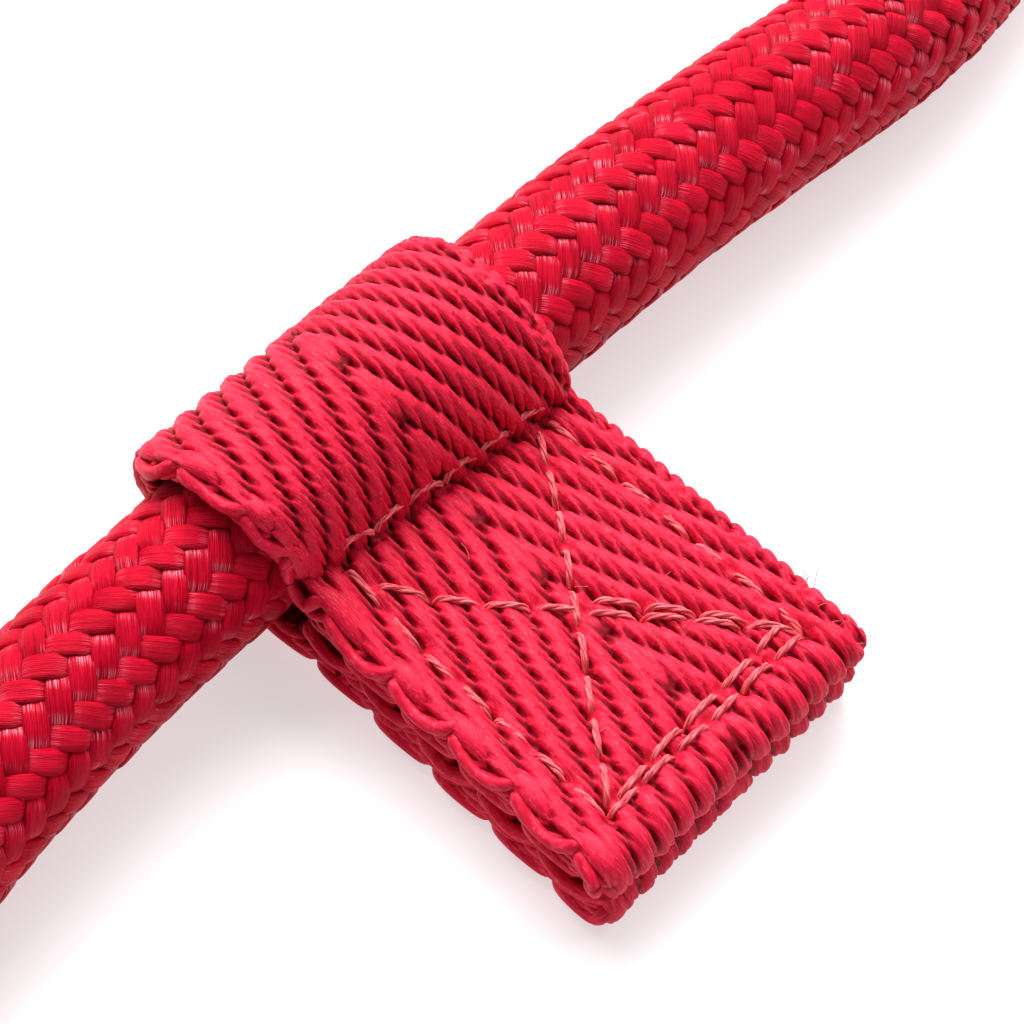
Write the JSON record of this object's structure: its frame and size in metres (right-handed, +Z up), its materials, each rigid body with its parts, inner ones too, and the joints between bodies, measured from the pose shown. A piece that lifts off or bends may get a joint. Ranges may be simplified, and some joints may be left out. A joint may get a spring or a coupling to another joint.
{
  "type": "rope halter",
  "caption": "Braided rope halter for a horse, with steel rings, sewn webbing chapes, a keeper tab on the chin rope and a bolt snap.",
  "frame": {"origin": "on the surface that the halter lies on, under the chin rope's axis at the middle of the keeper tab", "axes": "+X along the middle of the chin rope towards the right ring, +Y up the head towards the crown, +Z up from the surface"},
  "size_m": [0.316, 0.5206, 0.0164],
  "materials": {
    "rope": "glossy braided filament yarn",
    "rope_core": "soft twisted filling yarn",
    "webbing": "herringbone woven filament yarn, satin",
    "thread": "twisted sewing thread",
    "plated_steel": "polished nickel plate",
    "spring_steel": "bright drawn wire"
  },
  "bodies": {
    "halter": {"chape_stitching": "thread", "chin_rope_core": "rope_core", "chin_rope_sheath": "rope", "crown_rope_core": "rope_core", "crown_rope_sheath": "rope", "left_cheek_lower_chape": "webbing", "left_cheek_rope_core": "rope_core", "left_cheek_rope_sheath": "rope", "left_cheek_upper_chape": "webbing", "left_chin_chape": "webbing", "left_crown_chape": "webbing", "left_nose_chape": "webbing", "nose_rope_core": "rope_core", "nose_rope_sheath": "rope", "right_cheek_lower_chape": "webbing", "right_cheek_rope_core": "rope_core", "right_cheek_rope_sheath": "rope", "right_cheek_upper_chape": "webbing", "right_chin_chape": "webbing", "right_crown_chape": "webbing", "right_nose_chape": "webbing", "right_throat_chape": "webbing", "snap_chape": "webbing", "throat_rope_core": "rope_core", "throat_rope_sheath": "rope"},
    "tab": {"keeper_tab": "webbing", "tab_top_stitching": "thread"},
    "left_side_ring": {"left_side_ring": "plated_steel"},
    "right_side_ring": {"right_side_ring": "plated_steel"},
    "left_upper_ring": {"left_upper_ring": "plated_steel"},
    "right_upper_ring": {"right_upper_ring": "plated_steel"},
    "snap_eye": {"snap_swivel_eye": "plated_steel"},
    "snap": {"snap_body": "plated_steel", "snap_spring": "spring_steel"},
    "bolt": {"snap_bolt": "plated_steel"}
  },
  "joints": [
    {"name": "tab_swivel", "type": "hinge", "parent": "halter", "child": "tab", "pos_m": [0, 0, 0.0082], "axis": [-1, 0, 0], "range_deg": [0, 180]},
    {"name": "left_side_ring_turn", "type": "hinge", "parent": "halter", "child": "left_side_ring", "pos_m": [-0.125, 0.117, 0.0052], "axis": [0, 0, 1], "continuous": true},
    {"name": "left_upper_ring_turn", "type": "hinge", "parent": "halter", "child": "left_upper_ring", "pos_m": [-0.131, 0.305, 0.0052], "axis": [0, 0, 1], "continuous": true},
    {"name": "right_side_ring_turn", "type": "hinge", "parent": "halter", "child": "right_side_ring", "pos_m": [0.125, 0.117, 0.0052], "axis": [0, 0, 1], "continuous": true},
    {"name": "right_upper_ring_turn", "type": "hinge", "parent": "halter", "child": "right_upper_ring", "pos_m": [0.131, 0.305, 0.0052], "axis": [0, 0, 1], "continuous": true},
    {"name": "snap_eye_tilt", "type": "hinge", "parent": "halter", "child": "snap_eye", "pos_m": [-0.03814, 0.27661, 0.0052], "axis": [0.2924, 0.9563, 0], "range_deg": [-90, 90]},
    {"name": "snap_swivel", "type": "hinge", "parent": "snap_eye", "child": "snap", "pos_m": [-0.06109, 0.28363, 0.0052], "axis": [0.9563, -0.2924, 0], "continuous": true},
    {"name": "bolt_slide", "type": "slide", "parent": "snap", "child": "bolt", "axis": [0.9563, -0.2924, 0], "range_m": [0, 0.008], "stiffness_N_per_m": 350, "springref_m": -0.006, "deforming": ["snap_spring"]}
  ]
}
